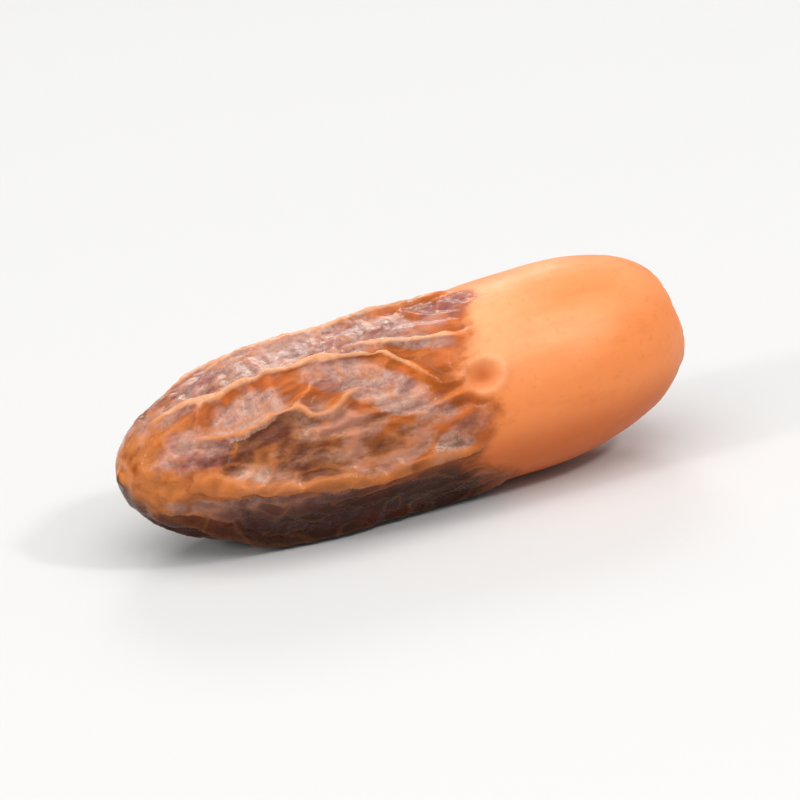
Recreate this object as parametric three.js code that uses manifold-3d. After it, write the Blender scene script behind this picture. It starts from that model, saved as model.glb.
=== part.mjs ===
// A dried date lying at rest on its belly: one grown fruit, with the scar that the calyx left at its stem end.
// Millimetres, +Z up, +X towards the stem end. The origin is on the resting plane, below the middle of the fruit.
import * as THREE from "three";
import { mergeVertices } from "three/addons/utils/BufferGeometryUtils.js";
import Module from "manifold-3d";

const wasm = await Module();
wasm.setup();

const { degToRad, smoothstep } = THREE.MathUtils;

// Driving dimensions.
const LENGTH = 50;
const HEIGHT = 16.8;
const BREADTH = 17.4;
const SCAR_RADIUS = 3.4;
const SCAR_DEPTH = 1.1;
const BELLY_SAG = 0.8; // how far the middle of the centreline droops below its ends
const SIDE_BOW = 0.35; // how far the middle of the centreline stands out sideways
const REST_TILT = degToRad(3.2); // rise of the axis towards the stem end, as the fruit lies
const REST_CUT = 0.42; // depth of the flat that the fruit's weight has pressed into its belly
const PANEL_SINK = 0.4; // how far the dried skin sinks between its folds

// Fineness of the mesh.
const STEPS_ALONG = 54;
const STEPS_AROUND = 60;

// Half of the long section, from the tip to the stem end: [share of the length, share of the half girth].
const OUTLINE = [
  [0, 0],
  [0.006, 0.17],
  [0.022, 0.33],
  [0.06, 0.53],
  [0.12, 0.73],
  [0.2, 0.89],
  [0.29, 0.97],
  [0.42, 0.98],
  [0.56, 0.985],
  [0.7, 1],
  [0.8, 0.98],
  [0.88, 0.9],
  [0.94, 0.78],
  [0.98, 0.62],
];

// The long folds of the dried skin. Angles are degrees round the fruit, from the front (-Y) up over the top,
// in equal steps from the start of the fold to its end, and both ends are shares of the length.
const FOLDS = [
  { from: 0.05, to: 0.51, angles: [80, 66, 65, 62, 57, 27], height: 0.55, width: 1.0 },
  { from: 0.03, to: 0.6, angles: [10, 1, -7, -11, -9, -12], height: 0.5, width: 1.2 },
  { from: 0.16, to: 0.6, angles: [99, 102, 97, 104, 99], height: 0.45, width: 1.2 },
  { from: 0.08, to: 0.66, angles: [-48, -57, -52, -61, -55], height: 0.45, width: 1.2 },
  { from: 0.1, to: 0.62, angles: [128, 136, 131, 142, 137], height: 0.5, width: 1.1 },
  { from: 0.06, to: 0.55, angles: [168, 163, 172, 180, 171], height: 0.55, width: 1.0 },
  { from: 0.12, to: 0.68, angles: [204, 211, 207, 216, 222], height: 0.5, width: 1.1 },
  { from: 0.08, to: 0.6, angles: [247, 240, 250, 244], height: 0.45, width: 1.2 },
];

// Soft dents: where each is, how wide its bowl is and how deep.
const DENTS = [
  { along: 0.585, angle: 27, radius: 1.5, depth: 0.4 },
  { along: 0.775, angle: 60, radius: 3.2, depth: 0.35 },
  { along: 0.74, angle: 150, radius: 4, depth: 0.35 },
  { along: 0.8, angle: 215, radius: 3, depth: 0.3 },
];

// The section's points: the outline, the rim round the scar, and the shallow cup of the scar down to the axis.
function sectionPoints() {
  const skin = OUTLINE.map(([along, girth]) => new THREE.Vector2((girth * HEIGHT) / 2, along * LENGTH));
  const rim = new THREE.Vector2(SCAR_RADIUS * 1.22, LENGTH * 0.999);
  const cupWall = new THREE.Vector2(SCAR_RADIUS, LENGTH - SCAR_DEPTH * 0.45);
  const cupFloor = new THREE.Vector2(SCAR_RADIUS * 0.75, LENGTH - SCAR_DEPTH);
  const plug = new THREE.Vector2(SCAR_RADIUS * 0.3, LENGTH - SCAR_DEPTH * 0.8);
  const centre = new THREE.Vector2(0, LENGTH - SCAR_DEPTH * 0.7);
  const points = new THREE.SplineCurve([...skin, rim, cupWall, cupFloor, plug, centre]).getSpacedPoints(STEPS_ALONG);
  points[0].x = 0;
  points.at(-1).x = 0;
  return points;
}

// 1 where the skin has dried and sunk, 0 on the smooth shoulder and at the very tip.
function dryness(along) {
  return smoothstep(along, 0.03, 0.14) * (1 - smoothstep(along, 0.48, 0.7));
}

// Shortest way round from one angle to another, in degrees.
function turn(from, to) {
  return THREE.MathUtils.euclideanModulo(to - from + 180, 360) - 180;
}

const foldLines = FOLDS.map(({ angles }) => new THREE.SplineCurve(angles.map((angle, i) => new THREE.Vector2(i, angle))));

// Height of the folds at a place on the skin whose distance from the axis is radius.
function foldHeight(along, angle, radius) {
  let height = 0;
  FOLDS.forEach((fold, i) => {
    const share = (along - fold.from) / (fold.to - fold.from);
    if (share <= 0 || share >= 1) return;
    const away = degToRad(turn(foldLines[i].getPoint(share).y, angle)) * radius;
    const fade = smoothstep(share, 0, 0.2) * (1 - smoothstep(share, 0.7, 1));
    height = Math.max(height, fold.height * fade * Math.exp(-((away / fold.width) ** 2)));
  });
  return height;
}

// Depth of the dents at a place on the skin.
function dentDepth(along, angle, radius) {
  return DENTS.reduce((depth, dent) => {
    const across = degToRad(turn(dent.angle, angle)) * radius;
    const lengthways = (along - dent.along) * LENGTH;
    return depth + dent.depth * Math.exp(-(across ** 2 + lengthways ** 2) / dent.radius ** 2);
  }, 0);
}

// The fruit in its own frame: the tip at the origin and the axis along +X.
function fruitGeometry() {
  const geometry = new THREE.LatheGeometry(sectionPoints(), STEPS_AROUND);
  const position = geometry.getAttribute("position");
  const point = new THREE.Vector3();
  for (let i = 0; i < position.count; i++) {
    point.fromBufferAttribute(position, i);
    const along = point.y / LENGTH;
    const radius = Math.hypot(point.x, point.z);
    const angle = THREE.MathUtils.radToDeg(Math.atan2(point.x, -point.z));
    const onSide = smoothstep(radius, SCAR_RADIUS, SCAR_RADIUS * 1.6); // no folds or dents inside the scar
    const relief = foldHeight(along, angle, radius) - PANEL_SINK * dryness(along);
    const offset = onSide * (relief - dentDepth(along, angle, radius));
    const grown = radius > 0 ? (radius + offset) / radius : 0;
    const bow = Math.sin(Math.PI * along);
    position.setXYZ(
      i,
      point.y,
      (point.z * grown * BREADTH) / HEIGHT - SIDE_BOW * bow,
      point.x * grown - BELLY_SAG * bow,
    );
  }
  return geometry;
}

// A closed three.js geometry as a solid.
function solidOf(geometry) {
  const bare = geometry.clone();
  bare.deleteAttribute("normal");
  bare.deleteAttribute("uv");
  const merged = mergeVertices(bare, 1e-3);
  return new wasm.Manifold(
    new wasm.Mesh({
      numProp: 3,
      vertProperties: merged.getAttribute("position").array,
      triVerts: new Uint32Array(merged.index.array),
    }),
  );
}

// A solid back as a three.js geometry.
function geometryOf(solid) {
  const { vertProperties, triVerts } = solid.getMesh();
  const geometry = new THREE.BufferGeometry();
  geometry.setAttribute("position", new THREE.BufferAttribute(vertProperties, 3));
  geometry.setIndex(new THREE.BufferAttribute(triVerts, 1));
  geometry.computeVertexNormals();
  return geometry;
}

// The fruit as it lies: tilted, its belly cut flat at z = 0, and centred over the origin.
function lyingFruit() {
  const fruit = fruitGeometry().rotateY(-REST_TILT);
  fruit.computeBoundingBox();
  fruit.translate(0, 0, -fruit.boundingBox.min.z - REST_CUT);
  const below = new THREE.BoxGeometry(3 * LENGTH, 3 * LENGTH, LENGTH).translate(0, 0, -LENGTH / 2);
  const geometry = geometryOf(solidOf(fruit).subtract(solidOf(below)));
  geometry.computeBoundingBox();
  const middle = geometry.boundingBox.getCenter(new THREE.Vector3());
  return geometry.translate(-middle.x, -middle.y, 0);
}

const date = new THREE.Mesh(
  lyingFruit(),
  new THREE.MeshStandardMaterial({ color: 0xc4703a, roughness: 0.42, metalness: 0 }),
);
date.name = "date";

const part = new THREE.Group();
part.add(date);

export default part;
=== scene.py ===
"""A dried date: skin shrivelled into folds, a smooth orange shoulder, and the scar that the calyx left."""

import math
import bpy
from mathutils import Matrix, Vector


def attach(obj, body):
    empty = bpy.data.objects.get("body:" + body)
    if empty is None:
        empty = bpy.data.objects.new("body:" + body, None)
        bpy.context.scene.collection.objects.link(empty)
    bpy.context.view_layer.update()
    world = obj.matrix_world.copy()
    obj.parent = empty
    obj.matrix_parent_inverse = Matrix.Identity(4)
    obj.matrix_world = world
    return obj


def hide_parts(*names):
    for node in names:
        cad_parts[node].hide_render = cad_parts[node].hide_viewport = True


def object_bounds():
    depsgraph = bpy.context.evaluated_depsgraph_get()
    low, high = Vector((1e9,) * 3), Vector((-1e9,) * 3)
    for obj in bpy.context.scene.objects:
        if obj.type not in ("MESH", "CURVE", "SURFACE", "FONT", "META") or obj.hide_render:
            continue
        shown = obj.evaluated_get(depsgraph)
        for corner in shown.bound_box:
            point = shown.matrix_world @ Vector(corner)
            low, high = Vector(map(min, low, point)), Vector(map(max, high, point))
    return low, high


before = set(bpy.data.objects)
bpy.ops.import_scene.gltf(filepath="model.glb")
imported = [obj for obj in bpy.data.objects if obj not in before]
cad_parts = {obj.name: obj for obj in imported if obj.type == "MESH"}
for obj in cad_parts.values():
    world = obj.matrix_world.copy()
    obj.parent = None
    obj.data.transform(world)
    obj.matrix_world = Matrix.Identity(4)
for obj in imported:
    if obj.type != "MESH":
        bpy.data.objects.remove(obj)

from types import SimpleNamespace

import bmesh
import bpy
import numpy as np
from mathutils import Quaternion, Vector, noise

CAD_LOW, CAD_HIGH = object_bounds()
MM = 0.001
LENGTH = CAD_HIGH.x - CAD_LOW.x
GIRTH = CAD_HIGH.y - CAD_LOW.y

# Fineness of the skin: the size of its quads while it shrivels, which one subdivision then halves, the
# rounds that relax its facets away, and the slices in which its middle is found.
SKIN_GRAIN = 0.385 * MM
RELAX_STEPS = 12
CENTRE_SLICES = 40
SLICE_OVERLAP = LENGTH / 60

# Smooth noise: how far each seed moves it, and how a curve through a few values is smoothed.
SEED_STEP = (7.31, 3.17, 5.73)
CURVE_POINTS = 200
CURVE_WINDOW = 31

# How the skin shrivels: how much it is too large for the flesh, round the fruit and along it, how stiff
# it is to bend, and how hard the flesh holds it back from sinking, from lifting and from slipping.
EXCESS_AROUND = 0.19
EXCESS_ALONG = 0.06
STIFFNESS = 0.15
HOLD_SINKING = 0.09
HOLD_LIFTING = 0.022
HOLD_SLIPPING = 0.002
TIP_FIRMNESS = 0.8  # how far the skin is kept from wrinkling at the tip
SHRIVEL_STEPS = 260
SHRIVEL_EASE = 0.7  # the share of the steps in which the skin comes to its full excess
STEP_SIZE = 0.1
MOMENTUM = 0.9

# Long folds of the skin: start and end as shares of the length, and angles in degrees round the fruit, from
# the front up over the top, in equal steps between them. Lift and width, in millimetres, shape the crest.
# They lie on the swells of the CAD fruit.
FOLDS = [
    dict(start=0.05, end=0.53, angles=[82, 67, 65, 62, 57, 22], lift=0.36, width=0.34),
    dict(start=0.06, end=0.6, angles=[8, 0, -8, -11, -9, -12], lift=0.16, width=1.2),
    dict(start=0.14, end=0.62, angles=[99, 102, 97, 104, 99], lift=0.1, width=0.4),
    dict(start=0.1, end=0.66, angles=[-48, -57, -52, -61, -55], lift=0.18, width=0.5),
    dict(start=0.1, end=0.62, angles=[128, 136, 131, 142, 137], lift=0.26, width=0.4),
    dict(start=0.08, end=0.57, angles=[168, 163, 172, 180, 171], lift=0.3, width=0.4),
    dict(start=0.12, end=0.68, angles=[204, 211, 207, 216, 222], lift=0.24, width=0.4),
    dict(start=0.1, end=0.6, angles=[247, 240, 250, 244], lift=0.2, width=0.5),
    dict(start=0.38, end=0.6, angles=[70, 67, 60, 52], lift=0.18, width=0.3),
    dict(start=0.1, end=0.25, angles=[40, 33, 38], lift=0.12, width=0.3),
]

# Small closed folds: where each is, and its half length, half width, lift, crest width and the dip of its
# middle in millimetres. The dimple is the one at the edge of the shoulder.
DIMPLE = dict(along=0.583, angle=27.5, half_length=1.75, half_width=1.4, lift=0.36, width=0.38, dip=0.4)
RINGS = [
    dict(along=0.31, angle=38, half_length=1.9, half_width=1.2, lift=0.12, width=0.28, dip=0.0),
    DIMPLE,
    dict(along=0.47, angle=164, half_length=2.0, half_width=1.4, lift=0.2, width=0.32, dip=0.2),
]

# The shallow dent on top of the shoulder: where it is, and its half length, half width and depth in
# millimetres.
SHOULDER_DENT = dict(along=0.775, angle=60, half_length=3.2, half_width=2.2, depth=0.22)

# Where the dried skin ends and the smooth shoulder begins, going round the fruit: angle and share of the
# length.
SHOULDER_LINE = [
    [-180, 0.63], [-160, 0.6], [-135, 0.66], [-110, 0.62], [-80, 0.66], [-60, 0.64], [-46, 0.64],
    [-36, 0.61], [-26, 0.57], [-14, 0.57], [-2, 0.585], [8, 0.595], [15, 0.57], [21, 0.53], [33, 0.53],
    [40, 0.57], [53, 0.585], [66, 0.592], [74, 0.605], [80, 0.635], [87, 0.645], [95, 0.62], [108, 0.6],
    [122, 0.64], [137, 0.59], [152, 0.62], [166, 0.68], [180, 0.63],
]

# Patches where the skin has lifted and turned mauve and grey: where each lies, its half length and half
# width in millimetres, how far, in degrees, its far end is turned up round the fruit, how brown it is and how
# dusted with grey.
MAUVE_PATCHES = [
    dict(along=0.29, angle=85, half_length=10.8, half_width=2.8, rise=-3, brown=0.0, bloom=0.8),
    dict(along=0.585, angle=80, half_length=3.0, half_width=1.3, rise=5, brown=0.1, bloom=-1.6),
    dict(along=0.49, angle=64, half_length=3.2, half_width=1.1, rise=-12, brown=0.0, bloom=0.6),
    dict(along=0.105, angle=32, half_length=2.7, half_width=1.7, rise=0, brown=0.1, bloom=0.1),
    dict(along=0.19, angle=41, half_length=3.0, half_width=1.8, rise=0, brown=0.0, bloom=2.6),
    dict(along=0.4, angle=37, half_length=5.2, half_width=1.75, rise=-22, brown=0.1, bloom=0.6),
    dict(along=0.26, angle=14, half_length=6.4, half_width=3.0, rise=-6, brown=1.0, bloom=-0.7),
    dict(along=0.4, angle=-1, half_length=3.6, half_width=1.3, rise=4, brown=0.8, bloom=-0.4),
    dict(along=0.53, angle=-1, half_length=3.0, half_width=1.0, rise=8, brown=0.5, bloom=-0.2),
    dict(along=0.22, angle=-21, half_length=7.0, half_width=1.0, rise=0, brown=0.4, bloom=0.1),
    dict(along=0.5, angle=-40, half_length=5.5, half_width=1.9, rise=-4, brown=0.6, bloom=-0.5),
    dict(along=0.27, angle=-36, half_length=5.5, half_width=1.6, rise=0, brown=0.6, bloom=-0.5),
]

# The patches are listed round this angle, in degrees. Between the two distances from it, they give way to
# patches by chance.
LISTED_SIDE = 28
LISTED_TO = 68
CHANCE_FROM = 84

# Heights of the fine relief, in millimetres: wrinkles in the dried skin, swells, ripples and faint creases in
# the shoulder, and the dry nub at the tip with the moat round it.
WRINKLE_HEIGHT = 0.1
FINE_WRINKLE_HEIGHT = 0.045
SWELL_HEIGHT = 0.12
RIPPLE_HEIGHT = 0.045
FAINT_CREASE_HEIGHT = 0.014
NUB_HEIGHT = 0.25
MOAT_DEPTH = 0.14

# The scar that the calyx left, measured from the fruit's axis at the stem end, and the small holes where the
# strands of the stalk broke off.
SCAR_RADIUS = 0.195 * GIRTH
SCAR_PITS = 9
PIT_RING = 0.56

# Heights on the scar and round it, in millimetres.
FIBRE_HEIGHT = 0.3
STUB_HEIGHT = 0.9
LEDGE_HEIGHT = 0.35
PIT_DEPTH = 0.9
SCAR_DEPTH = 0.25
LIP_HEIGHT = 0.2
GROOVE_DEPTH = 0.5
PUCKER_DEPTH = 0.1


# ---------------------------------------------------------------- the fruit's own coordinates


def read(mesh, name):
    """The mesh's points or outward directions, as rows of x, y and z."""
    flat = np.zeros(len(mesh.vertices) * 3, np.float32)
    mesh.vertices.foreach_get(name, flat)
    return flat.reshape(-1, 3).astype(float)


def smooth_step(value, low, high):
    """0 below low, 1 above high and an even rise between them."""
    share = np.clip((value - low) / (high - low), 0, 1)
    return share * share * (3 - 2 * share)


def centreline():
    """Where the middle of the fruit is in each slice across it, read off the CAD fruit: x, y and z."""
    points = read(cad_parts["date"].data, "co")
    edges = np.linspace(CAD_LOW.x, CAD_HIGH.x, CENTRE_SLICES + 1)
    line = []
    for start, end in zip(edges[:-1], edges[1:]):
        inside = points[(points[:, 0] >= start - SLICE_OVERLAP) & (points[:, 0] <= end + SLICE_OVERLAP)]
        middle = (inside.min(0) + inside.max(0)) / 2
        line.append([(start + end) / 2, middle[1], middle[2]])
    return np.array(line)


def fruit_places(points):
    """Each point in the fruit's own terms: share of the length, degrees round it, distance from its line."""
    line = centreline()
    front = np.interp(points[:, 0], line[:, 0], line[:, 1]) - points[:, 1]
    above = points[:, 2] - np.interp(points[:, 0], line[:, 0], line[:, 2])
    return SimpleNamespace(
        points=points,
        along=(points[:, 0] - CAD_LOW.x) / LENGTH,
        angle=np.degrees(np.arctan2(above, front)),
        radius=np.hypot(front, above),
        above=above,
        end=line[-1],
    )


def turn(start, end):
    """Shortest way round from one angle to another, in degrees."""
    return (end - start + 180) % 360 - 180


def eased(values, share):
    """A smooth curve through values at equal steps, read at each share from 0 to 1."""
    fine = np.linspace(0, 1, CURVE_POINTS)
    angular = np.interp(fine, np.linspace(0, 1, len(values)), values)
    window = np.hanning(CURVE_WINDOW)
    soft = np.convolve(np.pad(angular, CURVE_WINDOW // 2, mode="edge"), window / window.sum(), mode="valid")
    return np.interp(share, fine, soft)


def wander(points, size, seed, stretch=1.0):
    """Smooth noise from about -1 to 1, its features of one size in metres, drawn out along the fruit."""
    shift = Vector([seed * step for step in SEED_STEP])
    scaled = points / (size * np.array([stretch, 1, 1]))
    return np.array([noise.noise(Vector(p) + shift) for p in scaled])


def creases(points, size, seed, stretch=1.0):
    """Fine sharp-crested wrinkles from 0 to about 1, drawn out along the fruit: where bent noise is near 0."""
    bent = points + np.stack([wander(points, 2.2 * size, seed + i) for i in range(3)], 1) * 0.8 * size
    sharp = 1 - np.abs(wander(bent, size, seed + 3, stretch)) / 0.35
    return np.clip(sharp, 0, 1) ** 2


# ---------------------------------------------------------------- the skin shrivels


def finished(piece):
    """The piece's mesh with its modifiers applied."""
    made = bpy.data.meshes.new_from_object(piece.evaluated_get(bpy.context.evaluated_depsgraph_get()))
    piece.modifiers.clear()
    piece.data = made
    return made


def even_skin(node):
    """The CAD fruit as one even skin of small quads, with its facets relaxed away."""
    piece = bpy.data.objects.new("dried_date", node.data.copy())
    bpy.context.scene.collection.objects.link(piece)
    shell = bmesh.new()
    shell.from_mesh(piece.data)
    bmesh.ops.remove_doubles(shell, verts=shell.verts, dist=0.001 * MM)
    shell.to_mesh(piece.data)
    shell.free()
    remesh = piece.modifiers.new("even quads", "REMESH")
    remesh.mode = "VOXEL"
    remesh.voxel_size = SKIN_GRAIN
    relax = piece.modifiers.new("relax facets", "SMOOTH")
    relax.factor = 0.5
    relax.iterations = RELAX_STEPS
    finished(piece)
    return piece


def neighbours(mesh):
    """Each vertex's neighbours along and across the quads, padded with itself, and how many it has."""
    quads = np.zeros(len(mesh.loops), int)
    mesh.loops.foreach_get("vertex_index", quads)
    quads = quads.reshape(-1, 4)
    sides = [quads[:, [i, (i + 1) % 4]] for i in range(4)] + [quads[:, [0, 2]], quads[:, [1, 3]]]
    ends = np.unique(np.sort(np.concatenate(sides), axis=1), axis=0)
    ends = np.concatenate([ends, ends[:, ::-1]])
    ends = ends[np.argsort(ends[:, 0], kind="stable")]
    count = np.bincount(ends[:, 0])
    place = np.arange(len(ends)) - np.repeat(np.cumsum(count) - count, count)
    near = np.tile(np.arange(len(count))[:, None], (1, count.max()))
    near[ends[:, 0], place] = ends[:, 1]
    return near, count[:, None].astype(np.float32)


def fold_lead(places):
    """How high the folds and rings lead the skin, in millimetres, and how far they loosen it, from 0 to 1."""
    points = places.points
    drift = 0.46 * wander(points, 4.5 * MM, 3) + 0.1 * wander(points, 1.4 * MM, 4)
    lead, loose = np.zeros(len(points)), np.zeros(len(points))
    for fold in FOLDS:
        share = (places.along - fold["start"]) / (fold["end"] - fold["start"])
        fade = smooth_step(share, 0, 0.15) * (1 - smooth_step(share, 0.85, 1))
        away = np.radians(turn(eased(fold["angles"], share), places.angle)) * places.radius / MM + drift
        shape = fade * np.exp(-((away / fold["width"]) ** 2))
        lead, loose = np.maximum(lead, fold["lift"] * shape), np.maximum(loose, shape)
    for ring in RINGS:
        out = ring_share(places, ring)
        shape = np.exp(-((((out - 1) * ring["half_width"] + 0.25 * drift) / ring["width"]) ** 2))
        lead, loose = np.maximum(lead, ring["lift"] * shape), np.maximum(loose, shape)
        lead = lead - ring["dip"] * np.exp(-((out / 0.62) ** 2))
    return lead, loose


def ring_share(places, ring):
    """Distance from a ring's centre: 0 in its middle and 1 on its crest."""
    lengthways = (places.along - ring["along"]) * LENGTH / MM / ring["half_length"]
    sideways = np.radians(turn(ring["angle"], places.angle)) * places.radius / MM / ring["half_width"]
    return np.hypot(lengthways, sideways)


def shoulder_edge(places):
    """How far each point lies beyond the ragged edge of the dried skin, as a share of the length."""
    line = np.array(SHOULDER_LINE)
    edge = np.interp(places.angle, line[:, 0], line[:, 1])
    bays = 0.024 * wander(places.points, 3 * MM, 1)
    frays = 0.016 * wander(places.points, 0.9 * MM, 2, stretch=2.2)
    return places.along - (edge + (bays + frays))


def shrivel(piece):
    """The skin keeps its size while the flesh below it shrinks, so it buckles into folds."""
    mesh = piece.data
    points, outward = read(mesh, "co"), read(mesh, "normal")
    places = fruit_places(points)
    near, count = neighbours(mesh)
    dried = 1 - smooth_step(shoulder_edge(places), -0.05, 0.015)
    at_tip = 1 - smooth_step(places.along, 0.02, 0.1)
    uneven = np.clip(1 + 0.6 * wander(points, 6 * MM, 12, stretch=1.6), 0.3, 1.7)
    off_floor = smooth_step(points[:, 2], 0.1 * MM, 1.4 * MM)
    excess = (dried * (1 - TIP_FIRMNESS * at_tip) * uneven * off_floor)[:, None]
    lead, loose = fold_lead(places)
    lead = lead * off_floor
    hold_lifting = HOLD_LIFTING * (1 - 0.5 * loose * dried)

    rest, outward = (points / MM).astype(np.float32), outward.astype(np.float32)
    spans = rest[near] - rest[:, None]
    reach = np.sqrt((spans**2).sum(2)) + 1e-7
    lengthways = (spans[..., 0] / reach) ** 2
    share = EXCESS_ALONG * lengthways + EXCESS_AROUND * (1 - lengthways)
    grown = (reach * share * (excess + excess[near][..., 0]) / 2).astype(np.float32)
    flat = spans.sum(1) / count
    start = lead + 0.02 * wander(points, 1.3 * MM, 13, stretch=2.2)
    skin = rest + outward * start[:, None].astype(np.float32)
    speed = np.zeros_like(skin)
    for step in range(SHRIVEL_STEPS):
        ease = min(1.0, (step + 1) / (SHRIVEL_EASE * SHRIVEL_STEPS))
        spans = skin[near] - skin[:, None]
        now = np.sqrt((spans**2).sum(2)) + 1e-7
        force = (spans * (1 - (reach + ease * grown) / now)[..., None]).sum(1)
        bend = spans.sum(1) / count - flat
        force -= STIFFNESS * (bend[near] - bend[:, None]).sum(1) / count
        away = skin - rest
        lift = (away * outward).sum(1)
        hold = np.where(lift < lead, HOLD_SINKING, hold_lifting)
        force -= (hold * (lift - lead))[:, None] * outward
        force -= HOLD_SLIPPING * (away - lift[:, None] * outward)
        speed = (MOMENTUM * speed + STEP_SIZE * force).astype(np.float32)
        skin = skin + speed
        skin[:, 2] = np.maximum(skin[:, 2], 0)
    keep(mesh, "rest", points)
    keep(mesh, "lift", ((skin - rest) * outward).sum(1))
    mesh.vertices.foreach_set("co", (skin * MM).ravel())
    mesh.update()


def keep(mesh, name, values):
    """Keeps a number or a point for each vertex."""
    values = np.asarray(values, np.float32)
    if values.ndim == 1:
        mesh.attributes.new(name, "FLOAT", "POINT").data.foreach_set("value", values)
    else:
        mesh.attributes.new(name, "FLOAT_VECTOR", "POINT").data.foreach_set("vector", values.ravel())


def kept(mesh, name):
    """Reads back what was kept."""
    layer = mesh.attributes[name]
    if layer.data_type == "FLOAT":
        flat = np.zeros(len(mesh.vertices), np.float32)
        layer.data.foreach_get("value", flat)
        return flat.astype(float)
    flat = np.zeros(len(mesh.vertices) * 3, np.float32)
    layer.data.foreach_get("vector", flat)
    return flat.reshape(-1, 3).astype(float)


# ---------------------------------------------------------------- fine relief and the masks for colour


def scar_pits(across, above):
    """The share of hole in the scar, where the strands of the stalk broke off in an uneven ring."""
    pits = np.zeros(len(across))
    for i in range(SCAR_PITS):
        at = math.tau * i / SCAR_PITS + 0.35 * math.sin(2.6 * i)
        reach = SCAR_RADIUS * (PIT_RING + 0.13 * math.sin(4.1 * i + 1))
        size = (0.26 + 0.07 * math.sin(5.3 * i)) * MM
        gap = np.hypot(across - reach * math.cos(at), 0.8 * (above - reach * math.sin(at)))
        pits = np.maximum(pits, np.exp(-((gap / size) ** 2)))
    return pits


def scar_relief(places):
    """Height of the scar and its torn rim in metres, and the shares of scar, fibres and dark marks, partly
    brown and partly painted shade in the recesses.
    """
    points = places.points
    across, above = points[:, 1] - places.end[1], points[:, 2] - places.end[2]
    facing = smooth_step(points[:, 0], CAD_HIGH.x - 3.6 * MM, CAD_HIGH.x - 1.8 * MM)
    out, bearing = np.hypot(across, above), np.arctan2(above, across)
    spokes = np.stack([np.cos(bearing), np.sin(bearing), out / (2.2 * SCAR_RADIUS)], 1)
    rim = SCAR_RADIUS * (1 + 0.06 * np.sin(2 * bearing + 1) + 0.12 * wander(spokes, 0.6, 34))
    inside = facing * (1 - smooth_step(out / rim, 0.9, 1.02))
    groove = facing * np.exp(-(((out / rim - 1) / 0.07) ** 2))
    lip = facing * np.exp(-(((out / rim - 1.17) / 0.1) ** 2)) * (0.8 + 0.9 * wander(spokes, 0.3, 35))
    puckers = facing * np.exp(-(((out / rim - 1.4) / 0.3) ** 2)) * creases(spokes, 0.42, 37)
    fibres = np.clip(0.5 + 1.6 * wander(spokes, 0.2, 30), 0, 1) * smooth_step(out, 0.3 * MM, 1.3 * MM)
    stub = np.exp(-((out / (0.85 * MM)) ** 4)) * (0.55 + 0.9 * wander(points, 0.55 * MM, 31))
    ledge = np.exp(-(((out / rim - 0.8) / 0.09) ** 2)) * (0.6 + 0.8 * wander(spokes, 0.4, 38))
    pits = scar_pits(across, above)
    lumps = 0.35 * wander(points, 1.1 * MM, 32) + 0.12 * wander(points, 0.5 * MM, 36)
    raised = FIBRE_HEIGHT * fibres + STUB_HEIGHT * stub + LEDGE_HEIGHT * ledge
    height = inside * (raised - PIT_DEPTH * pits + lumps - SCAR_DEPTH)
    height += LIP_HEIGHT * lip - GROOVE_DEPTH * groove - PUCKER_DEPTH * puckers
    hollows = smooth_step(-lumps, 0.02, 0.3)
    torn_end = np.exp(-((out / (0.9 * MM)) ** 4)) * (0.5 + 1.4 * wander(points, 0.4 * MM, 39))
    fibres = np.maximum(fibres, torn_end)
    # Dark in the holes, the low lumps, the outer ring of the cup and the groove round it: partly brown marks,
    # partly painted shade in these recesses.
    stain_and_shade = inside * (1.2 * pits + 0.5 * hollows + 0.9 * smooth_step(out / rim, 0.84, 1)) + 0.8 * groove
    return height * MM, inside, inside * fibres, np.clip(stain_and_shade, 0, 1)


def mauve_shares(places):
    """How far the skin has turned mauve, how brown and how dusted it is: as listed, or by chance."""
    mauve, brown, bloom = (np.zeros(len(places.along)) for _ in range(3))
    for patch in MAUVE_PATCHES:
        lengthways = (places.along - patch["along"]) * LENGTH / MM / patch["half_length"]
        middle = patch["angle"] + patch["rise"] * lengthways
        sideways = np.radians(turn(middle, places.angle)) * places.radius / MM / patch["half_width"]
        share = 1.5 - np.hypot(lengthways, sideways)
        brown = np.where(share > mauve, patch["brown"], brown)
        bloom = np.where(share > mauve, patch["bloom"], bloom)
        mauve = np.maximum(mauve, share)
    hidden = smooth_step(np.abs(turn(LISTED_SIDE, places.angle)), LISTED_TO, CHANCE_FROM)
    mauve_by_chance = 0.5 + 1.5 * wander(places.points, 4.5 * MM, 14, stretch=2.4)
    brown_by_chance = np.clip(0.4 + 2 * wander(places.points, 6 * MM, 15, stretch=1.5), 0, 1)
    mauve = mauve * (1 - hidden) + mauve_by_chance * hidden
    brown = brown * (1 - hidden) + brown_by_chance * hidden
    return np.clip(mauve, 0, 1), brown, bloom * (1 - hidden) + (0.7 - brown_by_chance) * hidden


def orange_and_shade_share(places):
    """How far the shoulder has turned orange: towards the stem end, down the front, partly as painted shade,
    and in its dent, as painted shade.
    """
    stemward = 0.75 * smooth_step(places.along, 0.74, 0.99)
    # Orange down the lower front: partly the shoulder's own colour, partly painted shade.
    frontward = smooth_step(np.abs(turn(-30, places.angle)), 82, 34)
    # Orange in the dent on top: painted shade.
    dent = ring_share(places, SHOULDER_DENT)
    return np.clip(stemward + frontward + 0.8 * np.exp(-(dent**2)), 0, 1)


def skin_relief(places, dried, at_tip, crinkles):
    """Height of the wrinkles in the dried skin, and of the swells and the dent in the shoulder, in metres."""
    points = places.points
    fine_wrinkles = FINE_WRINKLE_HEIGHT * creases(points, 0.75 * MM, 24, stretch=2.0)
    wrinkles = WRINKLE_HEIGHT * crinkles + fine_wrinkles
    soft = SWELL_HEIGHT * wander(points, 7 * MM, 8) + RIPPLE_HEIGHT * wander(points, 2.4 * MM, 28)
    soft += FAINT_CREASE_HEIGHT * creases(points, 0.8 * MM, 33, stretch=5)
    soft -= SHOULDER_DENT["depth"] * np.exp(-(ring_share(places, SHOULDER_DENT) ** 2))
    return (dried * (1 - TIP_FIRMNESS * at_tip) * wrinkles + (1 - dried) * soft) * MM


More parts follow.
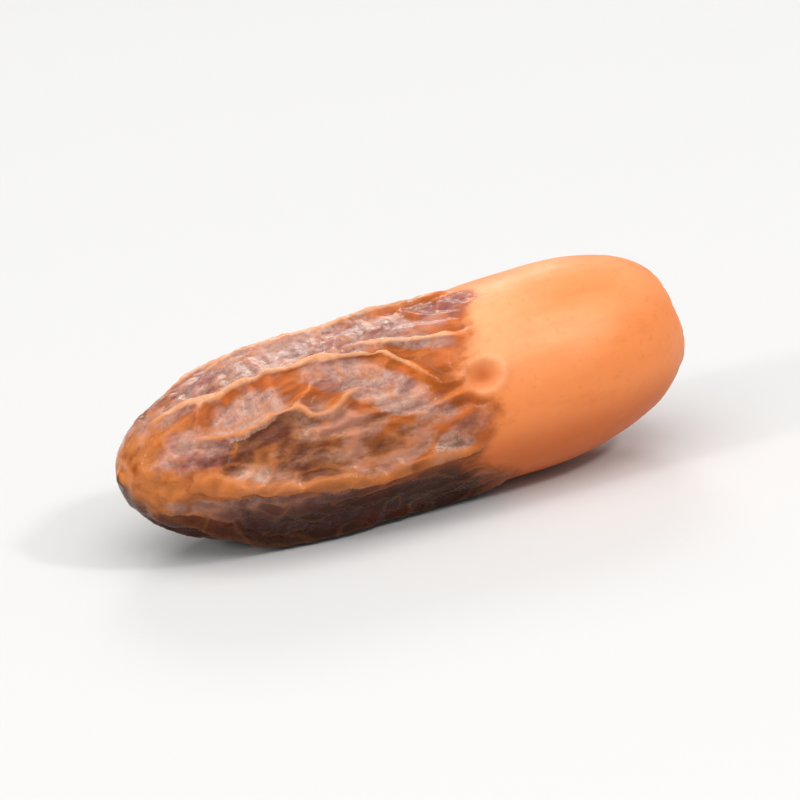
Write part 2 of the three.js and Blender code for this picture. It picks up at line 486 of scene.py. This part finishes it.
def nub_relief(places):
    """Height of the dry nub at the tip and the moat round it, in metres, and the share of nub."""
    from_tip = np.hypot(places.radius, places.points[:, 0] - CAD_LOW.x)
    nub = np.exp(-((from_tip / (0.5 * MM)) ** 2))
    moat = np.exp(-(((from_tip - 1.1 * MM) / (0.4 * MM)) ** 2))
    return NUB_HEIGHT * MM * nub - MOAT_DEPTH * MM * moat, nub


def fine_relief(piece):
    """One subdivision, then the fine wrinkles, the scar and the tip, with the masks that colours follow."""
    halve = piece.modifiers.new("halve the quads", "SUBSURF")
    halve.levels = halve.render_levels = 1
    mesh = finished(piece)
    skin, outward = read(mesh, "co"), read(mesh, "normal")
    rest, lift = kept(mesh, "rest"), kept(mesh, "lift")
    places = fruit_places(rest)
    beyond = shoulder_edge(places)
    dried = 1 - smooth_step(beyond, -0.03, 0.02)
    at_tip = 1 - smooth_step(places.along, 0.04, 0.12)
    crinkles = creases(rest, 1.3 * MM, 20, stretch=2.8)
    scar_height, scar, fibres, stain_and_shade = scar_relief(places)
    nub_height, nub = nub_relief(places)

    relief = skin_relief(places, dried, at_tip, crinkles) * (1 - scar) + scar_height
    relief += nub_height
    relief *= smooth_step(skin[:, 2], 0.02 * MM, 0.5 * MM)
    skin += outward * relief[:, None]
    skin[:, 2] = np.maximum(skin[:, 2], CAD_LOW.z)
    mesh.vertices.foreach_set("co", skin.astype(np.float32).ravel())
    mesh.polygons.foreach_set("use_smooth", np.ones(len(mesh.polygons), bool))
    mesh.attributes.remove(mesh.attributes["rest"])
    mesh.attributes.remove(mesh.attributes["lift"])
    mesh.update()

    keep_skin_masks(mesh, places, beyond, lift, at_tip)
    keep(mesh, "crinkle", crinkles)
    keep(mesh, "scar", scar)
    keep(mesh, "fibres", fibres)
    keep(mesh, "stain_and_shade", stain_and_shade)
    keep(mesh, "nub", nub)


def keep_skin_masks(mesh, places, beyond, lift, at_tip):
    """Where the skin has dried, lifted, sunk, turned mauve or orange, and where it faces up or down; the sunk,
    dimple, up and down masks, and part of the orange, place painted light and shade.
    """
    keep(mesh, "dried", np.clip(0.5 - beyond / 0.085, 0, 1))
    keep(mesh, "edge", np.exp(-(((beyond + 0.012) / 0.03) ** 2)))
    mauve, brown, bloom = mauve_shares(places)
    keep(mesh, "mauve", mauve)
    keep(mesh, "brown", brown)
    keep(mesh, "bloom", bloom)
    keep(mesh, "crest", smooth_step(lift, 0.2, 0.55))
    # Sunk skin: the colour turns plum here, painted shade in the hollows between the folds.
    keep(mesh, "shade_in_hollows", 1 - smooth_step(lift, -0.08, 0.06))
    # The dimple: its middle is painted darker as shade, and its rim painted paler as a highlight.
    dimple = ring_share(places, DIMPLE)
    keep(mesh, "dip", np.exp(-((dimple / 0.66) ** 2)))
    keep(mesh, "rim", np.exp(-(((dimple - 1.05) / 0.22) ** 2)))
    keep(mesh, "tip", 1 - smooth_step(places.along, 0.05, 0.15))
    keep(mesh, "orange_and_shade", orange_and_shade_share(places))
    # Facing up: this mask turns the crests of the folds pale peach, a painted highlight.
    keep(mesh, "top", smooth_step(places.above, 0.12 * GIRTH, 0.46 * GIRTH))
    # Facing down, and the lower side of the tip: this mask darkens the colour there as painted shade, partly
    # the darker skin of the underside.
    below = np.maximum(-places.above, 0.24 * GIRTH * at_tip * np.sin(np.radians(-places.angle)))
    keep(mesh, "under", smooth_step(below, -0.01 * GIRTH, 0.25 * GIRTH))


# ---------------------------------------------------------------- material


def linear(red, green, blue):
    """A colour given as it looks on screen, 0 to 255, as the renderer's linear colour."""
    channels = [c / 255 for c in (red, green, blue)]
    return tuple(c / 12.92 if c <= 0.04045 else ((c + 0.055) / 1.055) ** 2.4 for c in channels) + (1.0,)


# Some colours stand in for light: PALE_PEACH is also a painted highlight on the crests of the folds and the
# dimple's rim; BROWN and DARK_PLUM are painted shade on the under side, partly its darker skin; PLUM,
# DEEP_ORANGE and BARK are in places painted shade in hollows, between crinkles, under the shoulder, in its
# dimple and in the scar's recesses.
PALE_PEACH = linear(244, 182, 138)
PEACH = linear(242, 167, 115)
ORANGE = linear(236, 139, 79)
RED_ORANGE = linear(204, 106, 46)
DEEP_ORANGE = linear(176, 74, 20)
AMBER = linear(162, 80, 22)
TOFFEE = linear(202, 120, 62)
BROWN = linear(62, 22, 3)
MAUVE = linear(154, 92, 84)
ROSE = linear(204, 142, 118)
UMBER = linear(140, 82, 46)
LILAC_GREY = linear(208, 172, 154)
PLUM = linear(88, 40, 30)
DARK_PLUM = linear(44, 17, 9)
STRAW = linear(224, 192, 136)
DULL_STRAW = linear(190, 144, 88)
BARK = linear(92, 52, 26)

# Gloss, from the smoothest places of each skin to its dullest, and the depth of the bump.
SATIN_ROUGHNESS = (0.38, 0.5)
GLOSSY_ROUGHNESS = (0.09, 0.38)
SCAR_ROUGHNESS = 0.85
BUMP_STRENGTH = 0.8
BUMP_HEIGHT = 0.11 * MM
SHOULDER_BUMP = 0.2  # the share of the bump that the smooth shoulder keeps

# How light passes a little way through the flesh, and how the skin's gloss is tinted.
FLESH_GLOW = 0.12
GLOW_REACH = (1.0, 0.42, 0.18)
GLOW_SCALE = 1.0 * MM
GLOSS_LEVEL = 0.2
GLOSS_TINT = (1.0, 0.86, 0.74, 1.0)


class Finish:
    """A material's nodes, wired by short calls."""

    def __init__(self, name):
        self.material = bpy.data.materials.new(name)
        self.material.use_nodes = True
        self.tree = self.material.node_tree
        self.shader = self.tree.nodes["Principled BSDF"]
        self.object_places = self.node("ShaderNodeTexCoord").outputs["Object"]

    def node(self, kind, **settings):
        made = self.tree.nodes.new(kind)
        for name, value in settings.items():
            setattr(made, name, value)
        return made

    def feed(self, socket, value):
        if isinstance(value, bpy.types.NodeSocket):
            self.tree.links.new(value, socket)
        else:
            socket.default_value = value

    def mask(self, name):
        """One of the numbers kept on the skin."""
        return self.node("ShaderNodeAttribute", attribute_name=name).outputs["Fac"]

    def grain(self, size, detail=3.0, roughness=0.55, stretch=1.0, seed=0.0):
        """Noise from 0 to 1, its features of one size in metres, drawn out along the fruit by stretch."""
        lay = self.node("ShaderNodeMapping")
        self.feed(lay.inputs["Vector"], self.object_places)
        lay.inputs["Scale"].default_value = (1 / size / stretch, 1 / size, 1 / size)
        lay.inputs["Location"].default_value = (seed, 2 * seed, 3 * seed)
        made = self.node("ShaderNodeTexNoise")
        made.inputs["Scale"].default_value = 1.0
        made.inputs["Detail"].default_value = detail
        made.inputs["Roughness"].default_value = roughness
        self.feed(made.inputs["Vector"], lay.outputs["Vector"])
        return made.outputs["Fac"]

    def between(self, value, low, high, to_low=0.0, to_high=1.0):
        """A value's range low to high, spread smoothly over to_low to to_high."""
        made = self.node("ShaderNodeMapRange", interpolation_type="SMOOTHSTEP")
        self.feed(made.inputs["Value"], value)
        made.inputs["From Min"].default_value = low
        made.inputs["From Max"].default_value = high
        made.inputs["To Min"].default_value = to_low
        made.inputs["To Max"].default_value = to_high
        return made.outputs["Result"]

    def maths(self, operation, a, b):
        made = self.node("ShaderNodeMath", operation=operation)
        self.feed(made.inputs[0], a)
        self.feed(made.inputs[1], b)
        return made.outputs[0]

    def ragged(self, mask, amount, size, low, high, stretch=1.0, seed=0.0):
        """A mask with a crisp edge that wavers by noise."""
        noise_about_zero = self.maths("SUBTRACT", self.grain(size, 4, 0.6, stretch, seed), 0.5)
        waver = self.maths("MULTIPLY", noise_about_zero, amount)
        return self.between(self.maths("ADD", mask, waver), low, high)

    def blend(self, share, first, second):
        """The first colour turning into the second as share goes from 0 to 1."""
        made = self.node("ShaderNodeMix", data_type="RGBA")
        self.feed(made.inputs["Factor"], share)
        self.feed(made.inputs[6], first)
        self.feed(made.inputs[7], second)
        return made.outputs[2]

    def mix(self, share, first, second):
        """The first number turning into the second as share goes from 0 to 1."""
        made = self.node("ShaderNodeMix", data_type="FLOAT")
        self.feed(made.inputs["Factor"], share)
        self.feed(made.inputs["A"], first)
        self.feed(made.inputs["B"], second)
        return made.outputs["Result"]


def shoulder_colour(f):
    """Peach above and orange below, with faint clouds, streaks and freckles; the deeper orange below and in
    the dimple is painted shade, and the dimple's pale rim a painted highlight.
    """
    clouds = f.grain(8 * MM, detail=2, seed=1)
    under = f.mask("under")
    colour = f.blend(f.between(clouds, 0.3, 0.7, 0.0, 0.75), PEACH, ORANGE)
    colour = f.blend(f.mask("orange_and_shade"), colour, ORANGE)
    # Deep orange on the under side: painted shade, partly the shoulder's own deeper colour.
    colour = f.blend(f.maths("MULTIPLY", under, 0.62), colour, DEEP_ORANGE)
    # Pale peach on the dimple's rim: a painted highlight.
    colour = f.blend(f.maths("MULTIPLY", f.mask("rim"), 0.4), colour, PALE_PEACH)
    # Deep orange in the middle of the dimple: painted shade.
    colour = f.blend(f.maths("MULTIPLY", f.mask("dip"), 0.75), colour, DEEP_ORANGE)
    freckles = f.between(f.grain(0.8 * MM, detail=4, roughness=0.75, seed=2), 0.52, 0.74)
    streaks = f.between(f.grain(1.6 * MM, detail=3, stretch=5, seed=17), 0.5, 0.75)
    colour = f.blend(f.maths("MULTIPLY", streaks, 0.16), colour, DEEP_ORANGE)
    return f.blend(f.maths("MULTIPLY", freckles, 0.3), colour, RED_ORANGE)


def ripe_colour(f):
    """The amber flesh seen through skin that has dried but not lifted."""
    streaks = f.grain(1.4 * MM, detail=4, stretch=3.5, seed=3)
    colour = f.blend(f.between(streaks, 0.34, 0.66), AMBER, RED_ORANGE)
    colour = f.blend(f.mask("tip"), colour, f.blend(f.between(streaks, 0.3, 0.56), AMBER, TOFFEE))
    # Darker brown on the under side: painted shade, partly the darker skin there.
    return f.blend(shaded(f), colour, BROWN)


def shaded(f):
    """Painted shade on the under side of the dried skin, partly the darker skin there: less near the shoulder.
    """
    return f.maths("MULTIPLY", f.mask("under"), f.mix(f.mask("edge"), 0.96, 0.6))


def mauve_colour(f):
    """Lifted skin: mauve, rose, plum and umber in mottles, with a grey bloom of fine specks on top; dark plum
    and thinner grey on the under side are painted shade, partly the darker skin there.
    """
    mottle = f.grain(2.0 * MM, detail=5, roughness=0.62, stretch=2.4, seed=4)
    brown = f.ragged(f.mask("brown"), 0.9, 2.5 * MM, 0.2, 0.8, 1.6, 12)
    colour = f.blend(brown, MAUVE, UMBER)
    colour = f.blend(f.between(mottle, 0.32, 0.48, 0.85, 0.0), colour, PLUM)
    colour = f.blend(f.between(mottle, 0.46, 0.62, 0.0, 0.7), colour, ROSE)
    raised = f.maths("MULTIPLY", f.mask("bloom"), 0.12)
    dusting = f.between(f.maths("ADD", f.grain(2.6 * MM, 4, 0.6, 2.4, 6), raised), 0.4, 0.62)
    speckle = f.between(f.grain(0.45 * MM, detail=4, roughness=0.7, seed=5), 0.3, 0.66, 0.2, 1.0)
    # The grey dust thins on the under side, so that side reads darker: painted shade.
    bloom = f.maths("MULTIPLY", dusting, f.mix(f.mask("under"), 0.8, 0.15))
    colour = f.blend(f.maths("MULTIPLY", bloom, speckle), colour, LILAC_GREY)
    # Dark plum on the under side: painted shade, partly the darker skin there.
    return f.blend(shaded(f), colour, DARK_PLUM)


def skin_colour(f, dried):
    """The whole fruit's colour."""
    colour = f.blend(dried, shoulder_colour(f), ripe_colour(f))
    mauve = f.maths("MULTIPLY", f.ragged(f.mask("mauve"), 1.2, 1.2 * MM, 0.16, 0.62, 2.4, 7), dried)
    colour = f.blend(mauve, colour, mauve_colour(f))
    reddened = f.maths("MULTIPLY", f.mask("edge"), f.mix(f.mask("under"), 0.36, 0.25))
    colour = f.blend(reddened, colour, RED_ORANGE)
    # Crests of the folds: toffee, their own thin skin, turning pale peach towards the top as a painted
    # highlight, and faded on the under side as painted shade.
    crest_tone_and_light = f.maths("MULTIPLY", f.ragged(f.mask("crest"), 0.9, 0.9 * MM, 0.15, 1.0, 2.0, 8), dried)
    crest_tone_and_light = f.maths("MULTIPLY", crest_tone_and_light, f.mix(f.mask("under"), 0.75, 0.08))
    colour = f.blend(crest_tone_and_light, colour, f.blend(f.between(f.mask("top"), 0.0, 0.7), TOFFEE, PALE_PEACH))
    # Painted shade: plum in the hollows of the dried skin.
    colour = f.blend(f.maths("MULTIPLY", f.maths("MULTIPLY", f.mask("shade_in_hollows"), dried), 0.3), colour, PLUM)
    # Lighter toffee on the crests of the crinkles, faded on the under side as painted shade.
    crinkle_crests = f.maths("MULTIPLY", f.between(f.mask("crinkle"), 0.3, 0.9), dried)
    colour = f.blend(f.maths("MULTIPLY", crinkle_crests, f.mix(f.mask("under"), 0.4, 0.1)), colour, TOFFEE)
    # Painted shade: plum in the low ground between the crinkles.
    shade_between_crinkles = f.maths("MULTIPLY", f.between(f.mask("crinkle"), 0.0, 0.25, 1.0, 0.0), dried)
    colour = f.blend(f.maths("MULTIPLY", shade_between_crinkles, 0.16), colour, PLUM)
    colour = f.blend(f.between(f.mask("nub"), 0.3, 0.9), colour, BARK)
    return f.blend(f.mask("scar"), colour, scar_colour(f))


def scar_colour(f):
    """Pale fibres over dull pith, dark in the hollows and holes: partly brown marks, partly painted shade."""
    pale = f.ragged(f.mask("fibres"), 1.0, 0.5 * MM, 0.15, 0.85, 1.0, 9)
    marked_and_shaded = f.ragged(f.mask("stain_and_shade"), 0.7, 0.4 * MM, 0.1, 0.9, 1.0, 16)
    return f.blend(marked_and_shaded, f.blend(pale, DULL_STRAW, STRAW), BARK)


def skin_roughness(f, dried):
    """Satin on the shoulder, patchy gloss on the dried skin and dull on the scar."""
    satin = f.between(f.grain(1.1 * MM, detail=4, seed=10), 0.3, 0.7, *SATIN_ROUGHNESS)
    glossy = f.between(f.grain(0.7 * MM, detail=4, seed=11), 0.3, 0.7, *GLOSSY_ROUGHNESS)
    return f.mix(f.mask("scar"), f.mix(dried, satin, glossy), SCAR_ROUGHNESS)


def skin_bump(f, dried):
    """Crinkles and pores finer than the mesh."""
    crinkle = f.maths("MULTIPLY", f.grain(0.45 * MM, detail=4, roughness=0.6, stretch=1.8, seed=13), 0.7)
    pores = f.maths("MULTIPLY", f.grain(0.2 * MM, detail=3, roughness=0.5, seed=14), 0.3)
    share = f.mix(f.maths("MAXIMUM", dried, f.mask("scar")), SHOULDER_BUMP, 1.0)
    bump = f.node("ShaderNodeBump")
    bump.inputs["Strength"].default_value = BUMP_STRENGTH
    bump.inputs["Distance"].default_value = BUMP_HEIGHT
    f.feed(bump.inputs["Height"], f.maths("MULTIPLY", f.maths("ADD", crinkle, pores), share))
    return bump.outputs["Normal"]


def date_skin():
    """The finish of the whole fruit, following the masks kept on its skin."""
    f = Finish("date skin")
    dried = f.ragged(f.mask("dried"), 0.75, 0.8 * MM, 0.24, 0.76, 1.4, 15)
    f.feed(f.shader.inputs["Base Color"], skin_colour(f, dried))
    f.feed(f.shader.inputs["Roughness"], skin_roughness(f, dried))
    f.feed(f.shader.inputs["Normal"], skin_bump(f, dried))
    f.shader.inputs["Subsurface Weight"].default_value = FLESH_GLOW
    f.shader.inputs["Subsurface Radius"].default_value = GLOW_REACH
    f.shader.inputs["Subsurface Scale"].default_value = GLOW_SCALE
    f.shader.inputs["Specular IOR Level"].default_value = GLOSS_LEVEL
    f.shader.inputs["Specular Tint"].default_value = GLOSS_TINT
    return f.material


# ---------------------------------------------------------------- studio

CAMERA_TURN = math.radians(-24)  # round the fruit from its front, towards the tip
CAMERA_RISE = math.radians(20)
CAMERA_ROLL = math.radians(-5)
CAMERA_DISTANCE = 0.32
PICTURE_WIDTH = 1.32 * LENGTH  # what the picture takes in at the fruit
SENSOR = 36.0
ROOM_RADIUS = 0.9
ROOM_LIGHT = 0.36
WALL_BRIGHTNESS = 0.88
WALL_WHITE = (1, 1, 1, 1)
PAPER_GREY = (0.66, 0.66, 0.66, 1)
FLOOR_GAP = 0.01 * MM

# Soft lamps: degrees round the fruit from its front, degrees of rise, distance and the size of the face in
# metres, power in watts and tint.
WARM = (1, 0.99, 0.97)
NEUTRAL = (1, 1, 1)
SOFTBOXES = [
    dict(name="overhead", turned=-25, risen=74, distance=1.05, size=(1.5, 1.25), power=11.8, tint=WARM),
    dict(name="left", turned=-85, risen=26, distance=1.0, size=(0.12, 0.2), power=2.6, tint=NEUTRAL),
    dict(name="behind", turned=156, risen=33, distance=1.1, size=(0.4, 0.26), power=2.8, tint=NEUTRAL),
    dict(name="right", turned=42, risen=44, distance=1.0, size=(0.11, 0.11), power=2.6, tint=NEUTRAL),
]


def towards(turned, risen):
    """The direction from the fruit to something placed round it, as an angle from the front and a rise."""
    flat = math.cos(risen)
    return Vector((math.sin(turned) * flat, -math.cos(turned) * flat, math.sin(risen)))


def add_camera(centre):
    data = bpy.data.cameras.new("camera")
    data.sensor_width = SENSOR
    data.lens = SENSOR * CAMERA_DISTANCE / PICTURE_WIDTH
    data.clip_start = 0.01
    camera = bpy.data.objects.new("camera", data)
    bpy.context.scene.collection.objects.link(camera)
    back = towards(CAMERA_TURN, CAMERA_RISE)
    camera.rotation_mode = "QUATERNION"
    camera.rotation_quaternion = (-back).to_track_quat("-Z", "Y") @ Quaternion((0, 0, 1), CAMERA_ROLL)
    camera.location = centre + back * CAMERA_DISTANCE
    bpy.context.scene.camera = camera


def add_softbox(name, centre, turned, risen, distance, size, power, tint):
    data = bpy.data.lights.new(name, "AREA")
    data.shape = "RECTANGLE"
    data.size, data.size_y = size
    data.energy = power
    data.color = tint
    lamp = bpy.data.objects.new(name, data)
    bpy.context.scene.collection.objects.link(lamp)
    back = towards(math.radians(turned), math.radians(risen))
    lamp.location = centre + back * distance
    lamp.rotation_mode = "QUATERNION"
    lamp.rotation_quaternion = (-back).to_track_quat("-Z", "Y")


def add_floor():
    disc = bmesh.new()
    bmesh.ops.create_circle(disc, cap_ends=True, segments=96, radius=ROOM_RADIUS)
    data = bpy.data.meshes.new("floor")
    disc.to_mesh(data)
    disc.free()
    floor = bpy.data.objects.new("floor", data)
    floor.location.z = CAD_LOW.z - FLOOR_GAP
    bpy.context.scene.collection.objects.link(floor)
    paper = Finish("pale paper")
    paper.shader.inputs["Base Color"].default_value = PAPER_GREY
    paper.shader.inputs["Roughness"].default_value = 0.9
    data.materials.append(paper.material)


def add_backdrop():
    """A pale room for the camera to see past the floor. It sheds no light and casts no shadow."""
    dome = bmesh.new()
    bmesh.ops.create_uvsphere(dome, u_segments=64, v_segments=32, radius=ROOM_RADIUS)
    data = bpy.data.meshes.new("backdrop")
    dome.to_mesh(data)
    dome.free()
    backdrop = bpy.data.objects.new("backdrop", data)
    bpy.context.scene.collection.objects.link(backdrop)
    for light in ("diffuse", "glossy", "transmission", "shadow"):
        setattr(backdrop, "visible_" + light, False)
    wall = Finish("pale wall")
    wall.shader.inputs["Base Color"].default_value = (0, 0, 0, 1)
    wall.shader.inputs["Specular IOR Level"].default_value = 0.0
    wall.shader.inputs["Emission Color"].default_value = WALL_WHITE
    wall.shader.inputs["Emission Strength"].default_value = WALL_BRIGHTNESS
    data.materials.append(wall.material)


def add_studio():
    centre = (CAD_LOW + CAD_HIGH) / 2
    add_camera(centre)
    add_floor()
    add_backdrop()
    for softbox in SOFTBOXES:
        add_softbox(centre=centre, **softbox)
    world = bpy.data.worlds.new("white room")
    bpy.context.scene.world = world
    world.use_nodes = True
    sky = world.node_tree.nodes["Background"]
    sky.inputs["Color"].default_value = WALL_WHITE
    sky.inputs["Strength"].default_value = ROOM_LIGHT
    bpy.context.scene.view_settings.view_transform = "Standard"


# ---------------------------------------------------------------- the whole


def build_date():
    piece = even_skin(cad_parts["date"])
    shrivel(piece)
    fine_relief(piece)
    piece.data.name = "dried_date"
    piece.data.materials.clear()
    piece.data.materials.append(date_skin())
    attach(piece, "root")
    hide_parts("date")


add_studio()
build_date()
